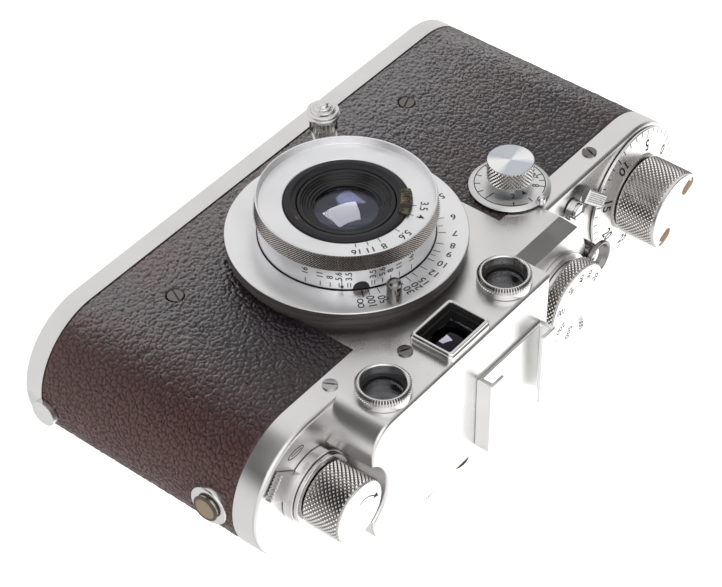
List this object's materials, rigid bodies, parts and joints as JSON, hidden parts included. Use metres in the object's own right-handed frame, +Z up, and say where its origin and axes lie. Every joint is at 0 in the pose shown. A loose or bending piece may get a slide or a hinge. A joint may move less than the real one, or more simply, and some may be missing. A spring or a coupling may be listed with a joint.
{
  "type": "rangefinder camera",
  "caption": "Bottom-loading film rangefinder camera with round ends, a stepped finder housing, knurled top knobs, leather covering and a collapsible lens with a focus lever.",
  "frame": {"origin": "centre of the bounding box's footprint, on the underside of the base plate", "axes": "+Z up through the top cover, the lens looks along -Y, +X towards the rewind end (the viewer's right from the front)"},
  "size_m": [0.1394, 0.046, 0.0731],
  "materials": {
    "satin_chrome": "satin",
    "bright_chrome": "polished",
    "leatherette": "pebbled",
    "black_paint": "satin",
    "cast_metal": "matt",
    "brass": "satin",
    "curtain_cloth": "matt",
    "finder_glass": "clear",
    "coated_glass": "blue coated"
  },
  "bodies": {
    "body": {"body_shell": "black_paint", "leather_covering": "leatherette", "top_cover": "satin_chrome", "case_screws": "bright_chrome", "rangefinder_bezels": "satin_chrome", "viewfinder_frame": "satin_chrome", "finder_glasses": "finder_glass", "eyepieces": "black_paint", "finder_chassis": "black_paint", "rangefinder_prisms": "finder_glass", "accessory_shoe": "satin_chrome", "shoe_screws": "bright_chrome", "strap_lugs": "satin_chrome", "sync_ring": "satin_chrome", "release_collar": "satin_chrome", "slow_dial_base": "black_paint", "rewind_collar": "satin_chrome", "shutter_crate": "cast_metal", "film_gate": "cast_metal", "pressure_plate": "black_paint", "curtain_drum": "cast_metal", "curtain_rollers": "cast_metal", "first_curtain": "curtain_cloth", "second_curtain": "curtain_cloth", "lens_mount_ring": "bright_chrome", "distance_flange": "satin_chrome", "focus_stop_post": "bright_chrome"},
    "wind": {"wind_knob": "satin_chrome", "wind_shaft": "cast_metal"},
    "counter": {"frame_counter_dial": "satin_chrome"},
    "spool": {"takeup_spool": "black_paint"},
    "sprocket": {"film_sprocket": "cast_metal"},
    "speed_core": {"speed_core": "bright_chrome"},
    "speed_dial": {"speed_dial": "satin_chrome"},
    "release": {"release_button": "bright_chrome"},
    "film_lever": {"advance_rewind_lever": "satin_chrome"},
    "slow_dial": {"slow_dial_plate": "satin_chrome", "slow_dial_knob": "satin_chrome"},
    "diopter": {"diopter_lever": "satin_chrome"},
    "rewind_fork": {"rewind_shaft": "cast_metal"},
    "rewind_knob": {"rewind_knob": "satin_chrome"},
    "follower": {"rangefinder_arm": "brass"},
    "helicoid": {"helicoid_ring": "brass"},
    "focus": {"focus_barrel": "satin_chrome", "focus_lever": "bright_chrome"},
    "lock_button": {"infinity_button": "bright_chrome"},
    "tube": {"collapsing_tube": "bright_chrome", "lens_grip_ring": "satin_chrome", "front_scale_ring": "satin_chrome", "front_cell": "black_paint", "front_element": "coated_glass", "iris_blades": "black_paint", "rear_cell": "black_paint", "rear_element": "coated_glass"},
    "aperture": {"aperture_ring": "black_paint"},
    "base": {"base_plate": "satin_chrome", "tripod_bush": "satin_chrome"},
    "base_lock": {"base_lock_disc": "satin_chrome"},
    "base_key": {"base_key": "bright_chrome"}
  },
  "joints": [
    {"name": "wind_turn", "type": "hinge", "parent": "body", "child": "wind", "pos_m": [-0.053, 0.0051, 0.06], "axis": [0, 0, 1], "continuous": true},
    {"name": "counter_turn", "type": "hinge", "parent": "body", "child": "counter", "pos_m": [-0.053, 0.0051, 0.059], "axis": [0, 0, 1], "continuous": true},
    {"name": "spool_turn", "type": "hinge", "parent": "body", "child": "spool", "pos_m": [-0.053, 0.0051, 0.027], "axis": [0, 0, 1], "continuous": true},
    {"name": "sprocket_turn", "type": "hinge", "parent": "body", "child": "sprocket", "pos_m": [-0.035, 0.011, 0.027], "axis": [0, 0, 1], "continuous": true},
    {"name": "speed_lift", "type": "slide", "parent": "body", "child": "speed_core", "axis": [0, 0, 1], "range_m": [0, 0.0025], "stiffness_N_per_m": 150, "springref_m": -0.001},
    {"name": "speed_turn", "type": "hinge", "parent": "speed_core", "child": "speed_dial", "pos_m": [-0.0176, 0.0051, 0.067], "axis": [0, 0, 1], "range_deg": [0, 315]},
    {"name": "release_press", "type": "slide", "parent": "body", "child": "release", "axis": [0, 0, -1], "range_m": [0, 0.002], "stiffness_N_per_m": 400, "springref_m": -0.001},
    {"name": "film_lever_turn", "type": "hinge", "parent": "body", "child": "film_lever", "pos_m": [-0.0307, -0.0049, 0.059], "axis": [0, 0, 1], "range_deg": [0, 25]},
    {"name": "slow_dial_turn", "type": "hinge", "parent": "body", "child": "slow_dial", "pos_m": [-0.0231, -0.0115, 0.0481], "axis": [0, 1, 0], "range_deg": [0, 200]},
    {"name": "diopter_turn", "type": "hinge", "parent": "body", "child": "diopter", "pos_m": [0.0525, 0.0051, 0.059], "axis": [0, 0, 1], "range_deg": [-35, 0]},
    {"name": "rewind_turn", "type": "hinge", "parent": "body", "child": "rewind_fork", "pos_m": [0.0525, 0.0051, 0.056], "axis": [0, 0, 1], "continuous": true},
    {"name": "rewind_lift", "type": "slide", "parent": "rewind_fork", "child": "rewind_knob", "axis": [0, 0, 1], "range_m": [0, 0.006]},
    {"name": "focus_advance", "type": "slide", "parent": "body", "child": "helicoid", "axis": [0, -1, 0], "range_m": [0, 0.0026]},
    {"name": "focus_turn", "type": "hinge", "parent": "helicoid", "child": "focus", "pos_m": [0.0108, -0.0124, 0.0336], "axis": [0, -1, 0], "range_deg": [0, 165]},
    {"name": "infinity_press", "type": "slide", "parent": "focus", "child": "lock_button", "axis": [0, 1, 0], "range_m": [0, 0.0012], "stiffness_N_per_m": 300, "springref_m": -0.001},
    {"name": "tube_pull", "type": "slide", "parent": "focus", "child": "tube", "axis": [0, -1, 0], "range_m": [0, 0.019]},
    {"name": "aperture_turn", "type": "hinge", "parent": "tube", "child": "aperture", "pos_m": [0.0108, -0.0226, 0.0336], "axis": [0, 1, 0], "range_deg": [0, 120]},
    {"name": "follower_swing", "type": "hinge", "parent": "body", "child": "follower", "pos_m": [0.027, -0.0035, 0.048], "axis": [0, 0, 1], "range_deg": [0, 9.3]},
    {"name": "base_open", "type": "hinge", "parent": "body", "child": "base", "pos_m": [0.0685, 0.0051, 0.0083], "axis": [0, -1, 0], "range_deg": [0, 25]},
    {"name": "base_lock_turn", "type": "hinge", "parent": "base", "child": "base_lock", "pos_m": [-0.046, 0.0051, 0.001], "axis": [0, 0, 1], "range_deg": [0, 180]},
    {"name": "base_key_fold", "type": "hinge", "parent": "base_lock", "child": "base_key", "pos_m": [-0.046, 0.0051, 0.0006], "axis": [1, 0, 0], "range_deg": [0, 90]}
  ],
  "couplings": [
    {"joint": "counter_turn", "follows": "wind_turn", "ratio": 0.025},
    {"joint": "spool_turn", "follows": "wind_turn", "ratio": 1},
    {"joint": "sprocket_turn", "follows": "wind_turn", "ratio": -1},
    {"joint": "focus_turn", "follows": "focus_advance", "rad_per_m": 1107.6},
    {"joint": "follower_swing", "follows": "focus_advance", "rad_per_m": 61.75}
  ]
}
